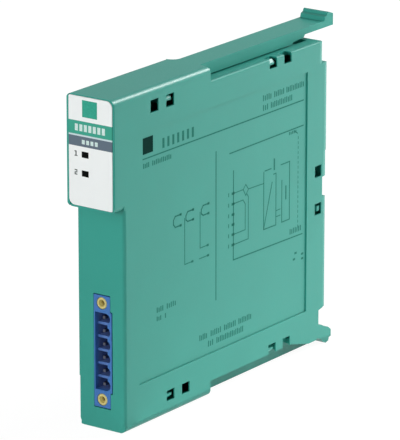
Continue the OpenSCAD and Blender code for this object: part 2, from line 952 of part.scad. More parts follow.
// One bus contact: a blade in the slot and a tail through the board
module bus_contact() {
    box([bus_slot_w / 2, -bus_slot_depth, -0.4], [bus_slot_w / 2 + 0.4, -1, 0.4]);
    box([-0.4, -bus_depth - 1.4, -0.4], [bus_slot_w / 2 + 0.4, -bus_slot_depth, 0.4]);
    box([-bus_w / 2 - board_t - 1, -bus_depth - 1.4, -0.4], [-0.4, -bus_depth - 0.6, 0.4]);
}

module bus_contact_row() {
    for (i = [0 : bus_contacts_n - 1])
        translate([bus_x, bus_y, bus_contact_z(i)])
            bus_contact();
}

// Socket in the rear wall that meets the backplane
module bus_connector() {
    color([0.1, 0.1, 0.11])
    placed()
    difference() {
        box([board_x, bus_y - bus_depth, bus_z], [board_x + bus_w, bus_y, bus_z + bus_l]);
        box([bus_x - bus_slot_w / 2, bus_y - bus_slot_depth, bus_z + bus_end],
            [bus_x + bus_slot_w / 2, bus_y + 1, bus_z + bus_l - bus_end]);
        bus_contact_row();
    }
}

module bus_contacts() {
    color([0.85, 0.72, 0.4])
    placed()
    bus_contact_row();
}

// Side view of the board with its front tab for the indicators
module board_outline() {
    difference() {
        union() {
            translate([board_y0, board_z0])
                square([board_y1 - board_y0, board_z1 - board_z0]);
            translate([tab_y0, tab_z0])
                square([board_y0 - tab_y0 + 1, board_z1 - tab_z0]);
        }
        for (p = post_places)
            translate(p)
                circle(d = peg_d + 2 * fit_gap);
    }
}

module circuit_board() {
    color([0.1, 0.35, 0.2])
    placed()
    difference() {
        across(board_back, board_x)
            board_outline();
        contact_row(0);
        bus_contact_row();
    }
}

// Middle of the transformer, lifted off the board
module transformer_place() {
    placed()
    on_board(transformer_at[0], transformer_at[1])
        translate([0, 0, core_rise])
            children();
}

// A flat block centred on the height axis
module slab(l, w, z0, z1) {
    translate([-l / 2, -w / 2, z0])
        cube([l, w, z1 - z0]);
}

// A flat block with rounded corners centred on the height axis
module round_slab(l, w, z0, z1, r) {
    translate([0, 0, z0])
        linear_extrude(height = z1 - z0)
            round_rect([-l / 2, -w / 2], [l / 2, w / 2], [r, r, r, r]);
}

// Ferrite core with a middle leg between two windows
module transformer_core() {
    color([0.25, 0.25, 0.27])
    transformer_place()
        difference() {
            slab(core_l, core_w, 0, core_h);
            for (side = [-1, 1])
                translate([side * core_window_x, 0, 0])
                    slab(core_window_w, core_w + 2, core_leg, core_h - core_leg);
        }
}

// Coil former round the middle leg, with two cheeks and two rails of pins
module transformer_bobbin() {
    color([0.12, 0.12, 0.13])
    transformer_place() {
        difference() {
            union() {
                slab(tube_l, tube_w, former_z0, former_z1);
                round_slab(former_l, former_w, former_z0, former_z0 + former_t, 0.6);
                round_slab(former_l, former_w, former_z1 - former_t, former_z1, 0.6);
            }
            slab(2 * (core_leg + fit_gap), core_w + 2 * fit_gap, 0, core_h);
        }
        for (side = [-1, 1])
            translate([0, side * (former_w - rail_size[1]) / 2, 0])
                slab(rail_size[0], rail_size[1], -core_rise, former_z0 + eps);
    }
}

// Wound copper between the cheeks of the coil former
module transformer_winding() {
    color([0.7, 0.42, 0.22])
    transformer_place()
        difference() {
            round_slab(former_l - 0.4, former_w - 0.6, former_z0 + former_t, former_z1 - former_t, 1.2);
            slab(tube_l, tube_w, 0, core_h);
        }
}

// Round aluminium can on its plastic foot, with the crimped ring over the foot
module capacitor_can() {
    round_slab(cap_d + 0.3, cap_d + 0.3, 0, 0.9, 0.8);
    cylinder(d = cap_d, h = cap_groove_z);
    cylinder(d = cap_d - 0.6, h = cap_groove_z + cap_groove_w + 0.1);
    translate([0, 0, cap_groove_z + cap_groove_w])
        cylinder(d = cap_d, h = cap_h - cap_groove_z - cap_groove_w - 0.3);
    translate([0, 0, cap_h - 0.3])
        cylinder(d1 = cap_d, d2 = cap_d - 0.6, h = 0.3);
}

module buffer_capacitors() {
    color([0.75, 0.76, 0.78])
    placed()
    for (i = [0, 1])
        on_board(capacitor_at[0], capacitor_at[1] + i * capacitor_pitch)
            capacitor_can();
}

// A bent lead from a chip's side down to the board, pointing along its length axis
module bent_lead(reach, top, w) {
    translate([0, w / 2, 0])
        rotate([90, 0, 0])
            linear_extrude(height = w)
                polygon([
                    [-0.1, top], [reach * 0.45, top], [reach * 0.6, 0.2],
                    [reach, 0.2], [reach, 0], [reach * 0.5, 0],
                    [reach * 0.35, top - 0.2], [-0.1, top - 0.2]
                ]);
}

// Leads in a row on two opposite sides of a chip
module lead_rows(half, count, pitch, reach, top, w) {
    for (side = [0, 180])
        rotate(side)
            for (i = [0 : count - 1])
                translate([half, (i - (count - 1) / 2) * pitch, 0])
                    bent_lead(reach, top, w);
}

// Chip body with its round first lead mark
module chip_body(l, w, h) {
    difference() {
        slab(l, w, 0.15, h);
        translate([l / 2 - 1.1, w / 2 - 1.1, h - 0.15])
            cylinder(d = 0.9, h = 1);
    }
}

// Wide chip with eight leads on each side
module wide_chip() {
    chip_body(chip_w, chip_l, chip_h);
    lead_rows(chip_w / 2, 8, 1.27, 1.4, chip_h / 2, 0.42);
}

module processor() {
    color([0.13, 0.13, 0.14])
    placed()
    on_board(processor_at[0], processor_at[1]) {
        chip_body(cpu_side, cpu_side, 1.5);
        for (turn = [0, 90])
            rotate(turn)
                lead_rows(cpu_side / 2, 11, 0.8, 1, 0.8, 0.34);
    }
}

module converter_chip() {
    color([0.13, 0.13, 0.14])
    placed()
    on_board(converter_at[0], converter_at[1])
        wide_chip();
}

module signal_isolator() {
    color([0.13, 0.13, 0.14])
    placed()
    on_board(isolator_at[0], isolator_at[1])
        wide_chip();
}

module optocouplers() {
    color([0.9, 0.9, 0.88])
    placed()
    for (i = [0, 1])
        on_board(coupler_at[0], coupler_at[1] + i * coupler_pitch) {
            chip_body(coupler_l, coupler_w, coupler_h);
            lead_rows(coupler_l / 2, 2, 2.54, 1.6, coupler_h / 2, 1);
        }
}

// Low metal can with two round ends on a thin flange
module quartz_crystal() {
    color([0.78, 0.78, 0.8])
    placed()
    on_board(crystal_at[0], crystal_at[1]) {
        round_slab(crystal_l, crystal_w, 0, 0.5, crystal_w / 2);
        round_slab(crystal_l - 0.8, crystal_w - 0.8, 0.4, crystal_h, (crystal_w - 0.8) / 2);
    }
}

// Shielded inductor with a round core in a square frame
module power_inductor() {
    color([0.3, 0.3, 0.31])
    placed()
    on_board(inductor_at[0], inductor_at[1])
        difference() {
            round_slab(inductor_side, inductor_side, 0, inductor_h, 1);
            translate([0, 0, inductor_h - 0.4])
                difference() {
                    cylinder(d = inductor_side - 0.8, h = 1);
                    cylinder(d = inductor_side - 1.8, h = 1);
                }
        }
}

// A round component lying on the board with a metal cap on each end
module lying_cylinder(d, l) {
    translate([0, 0, d / 2])
        rotate([0, 90, 0]) {
            cylinder(d = d - 0.1, h = l, center = true);
            for (side = [-1, 1])
                translate([0, 0, side * (l - 0.6) / 2])
                    cylinder(d = d, h = 0.6, center = true);
        }
}

module input_resistors() {
    color([0.55, 0.68, 0.75])
    placed()
    for (i = [0 : contacts - 1])
        on_board(resistor_y, first_contact + i * contact_pitch)
            lying_cylinder(resistor_d, resistor_l);
}

// A moulded block with one flat lead folded under each end
module block_component(l, w, h) {
    slab(l, w, 0.15, h);
    for (side = [0, 180])
        rotate(side)
            translate([l / 2, 0, 0])
                bent_lead(0.6, h / 2, w * 0.55);
}

module surge_suppressors() {
    color([0.16, 0.16, 0.17])
    placed()
    for (i = [0 : 2 : contacts - 1])
        on_board(suppressor_y, first_contact + (i + 0.5) * contact_pitch)
            block_component(suppressor_l, suppressor_w, moulded_h);
}

module rectifier_diodes() {
    color([0.16, 0.16, 0.17])
    placed()
    for (i = [0, 1])
        on_board(diode_at[0], diode_at[1] + i * diode_pitch)
            block_component(diode_l, diode_w, moulded_h);
}

// Square ceramic fuse with two metal end caps
module board_fuse() {
    color([0.9, 0.88, 0.8])
    placed()
    on_board(fuse_at[0], fuse_at[1]) {
        slab(fuse_l - 0.2, fuse_side - 0.2, 0.1, fuse_side - 0.1);
        for (side = [-1, 1])
            translate([side * (fuse_l - 1.4) / 2, 0, 0])
                slab(1.4, fuse_side, 0, fuse_side);
    }
}

// Small temperature sensor beside the terminals
module junction_sensor() {
    color([0.14, 0.14, 0.15])
    placed()
    on_board(sensor_at[0], sensor_at[1]) {
        slab(1.3, 2.9, 0.1, 1);
        lead_rows(0.65, 2, 1.9, 0.6, 0.6, 0.4);
    }
}

housing();
side_cover();
label_plate();
upper_light_pipe();
lower_light_pipe();
upper_led();
lower_led();
header_body();
header_contacts();
upper_flange_insert();
lower_flange_insert();
bus_connector();
bus_contacts();
circuit_board();
transformer_core();
transformer_bobbin();
transformer_winding();
buffer_capacitors();
processor();
converter_chip();
signal_isolator();
optocouplers();
quartz_crystal();
power_inductor();
input_resistors();
surge_suppressors();
rectifier_diodes();
board_fuse();
junction_sensor();
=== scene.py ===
import math

import bmesh
import bpy
from mathutils import Matrix, Vector


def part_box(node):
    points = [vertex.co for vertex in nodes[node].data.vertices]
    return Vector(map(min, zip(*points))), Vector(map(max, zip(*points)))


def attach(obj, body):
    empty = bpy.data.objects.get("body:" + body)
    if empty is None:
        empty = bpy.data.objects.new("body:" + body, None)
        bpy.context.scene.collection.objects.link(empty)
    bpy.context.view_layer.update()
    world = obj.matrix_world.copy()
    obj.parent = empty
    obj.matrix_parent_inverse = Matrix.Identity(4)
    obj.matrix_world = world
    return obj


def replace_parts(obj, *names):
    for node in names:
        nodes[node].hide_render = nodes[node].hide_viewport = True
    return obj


# A slim plug-in temperature signal converter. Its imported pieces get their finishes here. The thin print
# and two turned inserts are added, and then the paper, the lamps and the camera of a small studio.

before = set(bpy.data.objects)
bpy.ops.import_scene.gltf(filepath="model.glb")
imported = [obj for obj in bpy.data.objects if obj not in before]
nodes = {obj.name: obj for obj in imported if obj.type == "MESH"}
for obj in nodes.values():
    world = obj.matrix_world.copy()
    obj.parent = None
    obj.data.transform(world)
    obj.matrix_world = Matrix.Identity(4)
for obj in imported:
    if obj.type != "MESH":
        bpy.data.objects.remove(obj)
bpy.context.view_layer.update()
scene = bpy.context.scene
scene.view_settings.view_transform = "Standard"

MM = 0.001

# Flat faces that carry print, in metres: the side panel is sunk into the housing's right face
PANEL_STEP = 0.35 * MM
PANEL_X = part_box("housing")[1].x - PANEL_STEP
LABEL_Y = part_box("label_plate")[0].y

# Sockets of the Mix node by number, because its values and its colours share their names
SHARE, VALUE_A, VALUE_B, COLOUR_A, COLOUR_B = 0, 2, 3, 6, 7

# Most values of a noise texture lie in this range
NOISE_RANGE = {"From Min": 0.3, "From Max": 0.7}

# Room round a box that its faces need to lie inside it, and the gap under which two corners are one
BOX_SLACK = 0.02 * MM
CORNER_GAP = 0.002 * MM


def linear(code):
    """An sRGB hex colour as linear red, green, blue and alpha"""
    parts = [int(code[i:i + 2], 16) / 255 for i in (1, 3, 5)]
    return [c / 12.92 if c <= 0.04045 else ((c + 0.055) / 1.055) ** 2.4 for c in parts] + [1.0]


def add(tree, kind, links=None, **settings):
    """Adds one shader node with its settings, and links or fills its sockets

    Where a socket is given a whole node, that node's first live output is linked to it
    """
    made = tree.nodes.new("ShaderNode" + kind)
    for name, value in settings.items():
        setattr(made, name, value)
    for socket, value in (links or {}).items():
        if isinstance(value, bpy.types.Node):
            value = next(output for output in value.outputs if output.enabled)
        if isinstance(value, bpy.types.NodeSocket):
            tree.links.new(value, made.inputs[socket])
        else:
            made.inputs[socket].default_value = value
    return made


def new_material(name):
    """An empty node material, its tree and the object coordinates that its patterns lie on"""
    material = bpy.data.materials.new(name)
    material.use_nodes = True
    tree = material.node_tree
    tree.nodes.clear()
    return material, tree, add(tree, "TexCoord").outputs["Object"]


def inside(tree, place, boxes):
    """1 inside any of the boxes in metres, 0 outside them"""
    found = 0.0
    for low, high in boxes:
        middle, half = (low + high) / 2, (high - low) / 2
        off = add(tree, "VectorMath", {0: place, 1: middle}, operation="SUBTRACT")
        off = add(tree, "VectorMath", {0: off}, operation="ABSOLUTE")
        off = add(tree, "SeparateXYZ", {"Vector": off})
        here = 1.0
        for axis, reach in zip("XYZ", half):
            within = add(tree, "Math", {0: off.outputs[axis], 1: reach + BOX_SLACK}, operation="LESS_THAN")
            here = add(tree, "Math", {0: here, 1: within}, operation="MULTIPLY")
        found = add(tree, "Math", {0: found, 1: here}, operation="MAXIMUM")
    return found


def islands(name):
    """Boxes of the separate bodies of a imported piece, whose faces may not share their corners"""
    mesh = nodes[name].data
    spots = [tuple(round(c / CORNER_GAP) for c in vertex.co) for vertex in mesh.vertices]
    group = {spot: spot for spot in spots}

    def first_of(spot):
        while group[spot] != spot:
            group[spot] = group[group[spot]]
            spot = group[spot]
        return spot

    for edge in mesh.edges:
        start, end = edge.vertices
        group[first_of(spots[start])] = first_of(spots[end])
    spans = {}
    for vertex, spot in zip(mesh.vertices, spots):
        low, high = spans.setdefault(first_of(spot), (vertex.co.copy(), vertex.co.copy()))
        for axis in range(3):
            low[axis] = min(low[axis], vertex.co[axis])
            high[axis] = max(high[axis], vertex.co[axis])
    return list(spans.values())


# Kinds of finish. The real grain of moulds, plating, inks and film is 0.01 to 0.05 mm wide, too fine to
# show, so each grain below is drawn several times coarser. Its width and height are in millimetres.


def moulded(name, colour, roughness, grain, depth, shade=0.05, specular=0.5, chamber_painted_light=None, dull=None):
    """Moulded plastic or sintered ferrite: even colour under a soft sheen that the mould's grain breaks up

    shade is how far the colour drifts over the length of a piece
    the chamber colour is a paler colour painted into deep chambers as painted light, with the place along Y
    where it starts dull gives boxes whose surface the mould leaves rougher
    """
    drift_length, painted_light_fade = 18 * MM, 1.5 * MM
    gloss_spread, dull_extra = 0.05, 0.18
    material, tree, place = new_material(name)
    tone = linear(colour)
    if chamber_painted_light:
        painted_light_colour, start = chamber_painted_light
        inward = add(tree, "SeparateXYZ", {"Vector": place}).outputs["Y"]
        share = add(tree, "MapRange", {"Value": inward, "From Min": start, "From Max": start + painted_light_fade})
        # Painted light: deep chambers are painted the paler colour, in place of the reflections there
        tone = add(tree, "Mix", {SHARE: share, COLOUR_A: tone, COLOUR_B: linear(painted_light_colour)}, data_type="RGBA")
    speck = add(tree, "TexNoise", {"Vector": place, "Scale": 1 / (grain * MM), "Detail": 3.0,
                                   "Roughness": 0.6})
    drift = add(tree, "TexNoise", {"Vector": place, "Scale": 1 / drift_length, "Detail": 2.0})
    light = add(tree, "MapRange", {"Value": drift, "To Min": 1 - shade, "To Max": 1 + shade, **NOISE_RANGE})
    rough = add(tree, "MapRange", {"Value": speck, "To Min": roughness - gloss_spread,
                                   "To Max": roughness + gloss_spread, **NOISE_RANGE})
    if dull:
        extra = add(tree, "Math", {0: inside(tree, place, dull), 1: dull_extra}, operation="MULTIPLY")
        rough = add(tree, "Math", {0: rough, 1: extra}, operation="ADD")
    shader = add(tree, "BsdfPrincipled", {
        "Base Color": add(tree, "HueSaturation", {"Color": tone, "Value": light}),
        "Roughness": rough,
        "Specular IOR Level": specular,
        "Normal": add(tree, "Bump", {"Height": speck, "Strength": 1.0, "Distance": depth * MM}),
    })
    add(tree, "OutputMaterial", {"Surface": shader}, is_active_output=True)
    return material


def plated(name, colour, roughness, grain, depth, metal=1.0):
    """Plated, drawn or turned metal: a satin sheen, with fine marks that spread its reflections"""
    gloss_spread = 0.08
    material, tree, place = new_material(name)
    marks = add(tree, "TexNoise", {"Vector": place, "Scale": 1 / (grain * MM), "Detail": 4.0})
    shader = add(tree, "BsdfPrincipled", {
        "Base Color": linear(colour),
        "Metallic": metal,
        "Roughness": add(tree, "MapRange", {"Value": marks, "To Min": roughness - gloss_spread,
                                            "To Max": roughness + gloss_spread, **NOISE_RANGE}),
        "Normal": add(tree, "Bump", {"Height": marks, "Strength": 1.0, "Distance": depth * MM}),
    })
    add(tree, "OutputMaterial", {"Surface": shader}, is_active_output=True)
    return material


def cased(name, node_name, colour, roughness, legs, grain):
    """Component bodies in moulding compound, lacquer or ceramic, with tinned ends of a satin light grey

    legs is how far the tinned ends reach along Y and Z in millimetres
    """
    tin, tin_roughness, unevenness, depth = "#BDBDB8", 0.32, 0.1, 0.004 * MM
    material, tree, place = new_material(name)
    cut = Vector((0, legs[0], legs[1])) * MM
    bodies = inside(tree, place, [(low + cut, high - cut) for low, high in islands(node_name)])
    speck = add(tree, "TexNoise", {"Vector": place, "Scale": 1 / (grain * MM), "Detail": 3.0})
    light = add(tree, "MapRange", {"Value": speck, "To Min": 1 - unevenness, "To Max": 1 + unevenness,
                                   **NOISE_RANGE})
    body = add(tree, "HueSaturation", {"Color": linear(colour), "Value": light})
    shader = add(tree, "BsdfPrincipled", {
        "Base Color": add(tree, "Mix", {SHARE: bodies, COLOUR_A: linear(tin), COLOUR_B: body},
                          data_type="RGBA"),
        "Metallic": add(tree, "Math", {0: 1.0, 1: bodies}, operation="SUBTRACT"),
        "Roughness": add(tree, "MapRange", {"Value": bodies, "To Min": tin_roughness, "To Max": roughness}),
        "Normal": add(tree, "Bump", {"Height": speck, "Strength": 1.0, "Distance": depth}),
    })
    add(tree, "OutputMaterial", {"Surface": shader}, is_active_output=True)
    return material


def ink(name, colour, specular=0.12):
    """Pad printing ink: a thin dull film that lies slightly uneven, so its tone varies a little"""
    unevenness, patch = 0.1, 0.5 * MM
    material, tree, place = new_material(name)
    cover = add(tree, "TexNoise", {"Vector": place, "Scale": 1 / patch, "Detail": 3.0})
    light = add(tree, "MapRange", {"Value": cover, "To Min": 1 - unevenness, "To Max": 1 + unevenness,
                                   **NOISE_RANGE})
    shader = add(tree, "BsdfPrincipled", {
        "Base Color": add(tree, "HueSaturation", {"Color": linear(colour), "Value": light}),
        "Roughness": 0.6,
        "Specular IOR Level": specular,
    })
    add(tree, "OutputMaterial", {"Surface": shader}, is_active_output=True)
    return material


def laminate():
    """Glass fibre board under green solder mask: glossy, with raised tracks, and dull yellow cut edges"""
    track_pitch, track_share, track_height = 1.27 * MM, 0.3, 0.02 * MM
    turn_size, weave_size, weave_share = 9 * MM, 0.35 * MM, 0.2
    halfway = 0.5
    material, tree, place = new_material("masked_board_laminate")
    normal = add(tree, "SeparateXYZ", {"Vector": add(tree, "NewGeometry").outputs["Normal"]})
    flat = add(tree, "Math", {0: normal.outputs["X"]}, operation="ABSOLUTE")
    flat = add(tree, "Math", {0: flat, 1: halfway}, operation="GREATER_THAN")
    # The tracks run along Z or along Y, and change where a coarse pattern of cells does
    spot = add(tree, "SeparateXYZ", {"Vector": place})
    cell = add(tree, "TexVoronoi", {"Vector": place, "Scale": 1 / turn_size}, distance="MANHATTAN")
    pick = add(tree, "SeparateColor", {"Color": cell.outputs["Color"]}).outputs["Red"]
    turn = add(tree, "Math", {0: pick, 1: halfway}, operation="GREATER_THAN")
    along = add(tree, "Mix", {SHARE: turn, VALUE_A: spot.outputs["Y"], VALUE_B: spot.outputs["Z"]})
    phase = add(tree, "Math", {0: along, 1: track_pitch}, operation="DIVIDE")
    phase = add(tree, "Math", {0: phase}, operation="FRACT")
    track = add(tree, "Math", {0: phase, 1: track_share}, operation="LESS_THAN")
    mask = add(tree, "Mix", {SHARE: track, COLOUR_A: linear("#12573A"), COLOUR_B: linear("#2A7A4C")},
               data_type="RGBA")
    weave = add(tree, "TexNoise", {"Vector": place, "Scale": 1 / weave_size, "Detail": 2.0})
    height = add(tree, "Math", {0: weave, 1: weave_share}, operation="MULTIPLY")
    height = add(tree, "Math", {0: height, 1: track}, operation="ADD")
    shader = add(tree, "BsdfPrincipled", {
        "Base Color": add(tree, "Mix", {SHARE: flat, COLOUR_A: linear("#A59A63"), COLOUR_B: mask},
                          data_type="RGBA"),
        "Roughness": 0.28,
        "Normal": add(tree, "Bump", {"Height": height, "Strength": 1.0, "Distance": track_height}),
    })
    add(tree, "OutputMaterial", {"Surface": shader}, is_active_output=True)
    return material


def wound_copper():
    """Enamelled copper wire, reddish brown ridges one wire apart: painted shade between, painted highlight on
    top
    """
    wire, ridge_height = 0.25 * MM, 0.1 * MM
    material, tree, place = new_material("enamelled_copper_wire")
    across = add(tree, "SeparateXYZ", {"Vector": place}).outputs["X"]
    phase = add(tree, "Math", {0: across, 1: wire}, operation="DIVIDE")
    phase = add(tree, "Math", {0: phase}, operation="FRACT")
    ridge_and_painted_light = add(tree, "Math", {0: phase, 1: math.pi}, operation="MULTIPLY")
    ridge_and_painted_light = add(tree, "Math", {0: ridge_and_painted_light}, operation="SINE")
    # Painted shade in the grooves between wires and a painted highlight along the tops of the ridges
    groove_shade_colour, crest_highlight_colour = linear("#6E3418"), linear("#C97B45")
    shader = add(tree, "BsdfPrincipled", {
        "Base Color": add(tree, "Mix", {SHARE: ridge_and_painted_light, COLOUR_A: groove_shade_colour, COLOUR_B: crest_highlight_colour}, data_type="RGBA"),
        "Metallic": 0.7,
        "Roughness": 0.25,
        "Normal": add(tree, "Bump", {"Height": ridge_and_painted_light, "Strength": 1.0, "Distance": ridge_height}),
    })
    add(tree, "OutputMaterial", {"Surface": shader}, is_active_output=True)
    return material


def capacitor_can():
    """Drawn aluminium cans: light brushed metal on a black foot, with a black sector printed on the top"""
    foot_height, top_skin, sector_edge = 0.92 * MM, 0.05 * MM, 1.6 * MM
    brush_width, brush_stretch, darkest, brightest = 0.2 * MM, 0.15, 0.85, 1.1
    can_roughness, black_roughness = 0.3, 0.5
    material, tree, place = new_material("capacitor_can_aluminium")
    low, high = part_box("buffer_capacitors")
    spot = add(tree, "SeparateXYZ", {"Vector": place})
    foot = add(tree, "Math", {0: spot.outputs["X"], 1: low.x + foot_height}, operation="LESS_THAN")
    top = add(tree, "Math", {0: spot.outputs["X"], 1: high.x - top_skin}, operation="GREATER_THAN")
    front = add(tree, "Math", {0: spot.outputs["Y"], 1: (low.y + high.y) / 2 - sector_edge},
                operation="LESS_THAN")
    sector = add(tree, "Math", {0: top, 1: front}, operation="MULTIPLY")
    dark = add(tree, "Math", {0: foot, 1: sector}, operation="MAXIMUM")
    streak = add(tree, "Mapping", {"Vector": place, "Scale": (brush_stretch, 1, 1)})
    brushed = add(tree, "TexNoise", {"Vector": streak, "Scale": 1 / brush_width, "Detail": 3.0})
    light = add(tree, "MapRange", {"Value": brushed, "To Min": darkest, "To Max": brightest})
    metal = add(tree, "HueSaturation", {"Color": linear("#C9CBCE"), "Value": light})
    shader = add(tree, "BsdfPrincipled", {
        "Base Color": add(tree, "Mix", {SHARE: dark, COLOUR_A: metal, COLOUR_B: linear("#1B1B1D")},
                          data_type="RGBA"),
        "Metallic": add(tree, "Math", {0: 1.0, 1: dark}, operation="SUBTRACT"),
        "Roughness": add(tree, "MapRange", {"Value": dark, "To Min": can_roughness,
                                            "To Max": black_roughness}),
    })
    add(tree, "OutputMaterial", {"Surface": shader}, is_active_output=True)
    return material


# Label colours, and the height over the ground in millimetres at which each band starts
LABEL_WHITE, LABEL_GREEN, LABEL_GREY, LABEL_LINE = "#E9EDED", "#369D87", "#5B6B79", "#C3D6DA"
LABEL_BANDS = ((80.35, LABEL_GREY), (83.2, LABEL_LINE), (83.6, LABEL_GREEN), (87.45, LABEL_WHITE))


def printed_label():
    """Polyester film over the label carrier: matt white, with flat coloured bands by height"""
    bottom, top = 60, 100
    fibre_size, fibre_height = 0.4 * MM, 0.002 * MM
    material, tree, place = new_material("printed_label_film")
    height = add(tree, "SeparateXYZ", {"Vector": place}).outputs["Z"]
    level = add(tree, "MapRange", {"Value": height, "From Min": bottom * MM, "From Max": top * MM})
    ramp = add(tree, "ValToRGB", {"Fac": level})
    ramp.color_ramp.interpolation = "CONSTANT"
    stops = ramp.color_ramp.elements
    stops[0].color = linear(LABEL_WHITE)
    stops.remove(stops[1])
    for z, colour in LABEL_BANDS:
        stop = stops.new((z - bottom) / (top - bottom))
        stop.color = linear(colour)
    fibre = add(tree, "TexNoise", {"Vector": place, "Scale": 1 / fibre_size, "Detail": 2.0})
    shader = add(tree, "BsdfPrincipled", {
        "Base Color": ramp,
        "Roughness": 0.45,
        "Specular IOR Level": 0.35,
        "Normal": add(tree, "Bump", {"Height": fibre, "Strength": 1.0, "Distance": fibre_height}),
    })
    add(tree, "OutputMaterial", {"Surface": shader}, is_active_output=True)
    return material


# Glass filled polyamide, a saturated sea green with a dull sheen. The mould's parting line runs along the
# upper ledge's edge and the latch arm's flank, and leaves them duller.
LEDGE_EDGE = (Vector((7.4, -10.5, 90.2)) * MM, Vector((8.1, 43.9, 90.9)) * MM)
ARM_FLANK = (Vector((4.1, -10.5, 90.9)) * MM, Vector((4.3, 54.6, 97.0)) * MM)
housing_green = moulded("green_polyamide", "#2B9587", roughness=0.42, grain=0.3, depth=0.006, shade=0.02,
                        dull=[LEDGE_EDGE, ARM_FLANK])

# Unfilled polyamide, a clear strong blue. Inside the chambers it is painted paler and greyer: painted light
# that stands in for the reflections there
CHAMBER_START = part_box("header_body")[0].y + 0.8 * MM
header_blue = moulded("blue_header_plastic", "#386DB1", roughness=0.4, grain=0.25, depth=0.004,
                      chamber_painted_light=("#667EB8", CHAMBER_START))

# Glass filled polyester, near black and rather dull
socket_black = moulded("black_socket_plastic", "#232427", roughness=0.5, grain=0.25, depth=0.006)

# Phenolic moulding compound, black with a soft sheen
former_black = moulded("black_coil_former_plastic", "#1C1C1F", roughness=0.45, grain=0.25, depth=0.005)

# Smoke tinted polycarbonate over an unlit diode, almost black and with hardly a reflection
pipe_tint = moulded("smoked_light_pipe", "#020504", roughness=0.5, grain=1.2, depth=0.0005, shade=0.02,
                    specular=0.08)

# Diffusing epoxy of a diode, milky and glossy
led_resin = moulded("milky_diode_resin", "#E6E4C8", roughness=0.2, grain=0.6, depth=0.001)

# Sintered ferrite, a dark mottled grey that hardly shines
ferrite = moulded("sintered_ferrite", "#3A3A3E", roughness=0.6, grain=0.08, depth=0.01, shade=0.12)

# Dull tin plate without a clear reflection, painted a darker bluish grey than tin: painted shade and a
# painted reflection of the blue chambers round the pins
tin_with_painted_shade = plated("tin_plate_painted_shade", "#6C7180", roughness=0.45, grain=0.3, depth=0.002)

# Turned brass, a pale yellow whose tool marks scatter so much light that it looks half matt
turned_brass = plated("turned_brass", "#DCCF88", roughness=0.38, grain=0.15, depth=0.002, metal=0.5)

# Thin gold plate, a warm yellow that shines more than the tin
gilt_plate = plated("gilt_contact_plate", "#E0BE74", roughness=0.28, grain=0.3, depth=0.001)

# Drawn nickel silver, a light grey with an even shine
drawn_can = plated("drawn_nickel_silver_can", "#BFC0C2", roughness=0.26, grain=0.5, depth=0.002)

# Inks of the side and the label, each a darker or paler tone of what they are printed on
green_ink = ink("dark_green_print", "#1C7062")
mark_ink = ink("deep_green_print", "#04302A", specular=0.03)
grey_ink = ink("grey_print", "#4C5856")
pale_ink = ink("pale_print", "#C9DEDA")
label_green_ink = ink("label_green_print", LABEL_GREEN)

finishes = {
    "housing": housing_green, "side_cover": housing_green, "label_plate": printed_label(),
    "upper_light_pipe": pipe_tint, "lower_light_pipe": pipe_tint,
    "header_body": header_blue, "header_contacts": tin_with_painted_shade,
    "upper_flange_insert": turned_brass, "lower_flange_insert": turned_brass,
    "bus_connector": socket_black, "bus_contacts": gilt_plate,
    "upper_led": led_resin, "lower_led": led_resin, "circuit_board": laminate(),
    "transformer_core": ferrite, "transformer_bobbin": former_black, "transformer_winding": wound_copper(),
    "power_inductor": ferrite, "buffer_capacitors": capacitor_can(), "quartz_crystal": drawn_can,
}

# Cased components: epoxy moulding compound is a matt near black, or white on the optocouplers, lacquer is
# glossy, and glazed ceramic lies between them. Each row gives the material, its colour and roughness, how
# far the tinned ends reach along Y and Z, and the grain.
CASED = {
    "processor": ("processor_epoxy_and_leads", "#242427", 0.55, (1.0, 1.0), 0.12),
    "converter_chip": ("converter_epoxy_and_leads", "#242427", 0.55, (1.4, 0), 0.12),
    "signal_isolator": ("isolator_epoxy_and_leads", "#29292C", 0.5, (1.4, 0), 0.12),
    "optocouplers": ("white_epoxy_and_leads", "#DAD8CE", 0.45, (1.6, 0), 0.2),
    "input_resistors": ("blue_lacquer_and_caps", "#7FAEC2", 0.25, (0.6, 0), 0.4),
    "surge_suppressors": ("suppressor_epoxy_and_leads", "#26262A", 0.5, (0.6, 0), 0.15),
    "rectifier_diodes": ("diode_epoxy_and_leads", "#202023", 0.5, (0.6, 0), 0.15),
    "board_fuse": ("white_ceramic_and_caps", "#DDD8C6", 0.35, (1.4, 0), 0.3),
    "junction_sensor": ("sensor_epoxy_and_leads", "#242427", 0.5, (0.6, 0), 0.1),
}
for node_name, (name, colour, roughness, legs, grain) in CASED.items():
    finishes[node_name] = cased(name, node_name, colour, roughness, legs, grain)

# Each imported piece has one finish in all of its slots
for name, material in finishes.items():
    slots = nodes[name].data.materials
    if not slots:
        slots.append(material)
    for i in range(len(slots)):
        slots[i] = material


def piece(name, form, material):
    """Makes a shown piece of a bmesh that is already in its place"""
    bmesh.ops.recalc_face_normals(form, faces=form.faces)
    mesh = bpy.data.meshes.new(name)
    form.to_mesh(mesh)
    form.free()
    made = bpy.data.objects.new(name, mesh)
    scene.collection.objects.link(made)
    mesh.materials.append(material)
    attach(made, "root")
    return made


# Print on the side panel, in millimetres. Points are given as Y, which grows to the rear, and height.
# Widths of lines and dots, and how thick the print is and how far it stands out of the panel.
LINE, THIN, FINE, HAIR, BOLD = 0.35, 0.3, 0.25, 0.22, 0.5
TERMINAL_DOT, BRACKET_DOT, LEAD_DOT, SMALL_DOT = 0.75, 0.7, 0.65, 0.6
PRINT_THICKNESS, PRINT_PROUD = 0.03, 0.02
PRINT_FRONT, PRINT_REAR = -41.2, 34.8


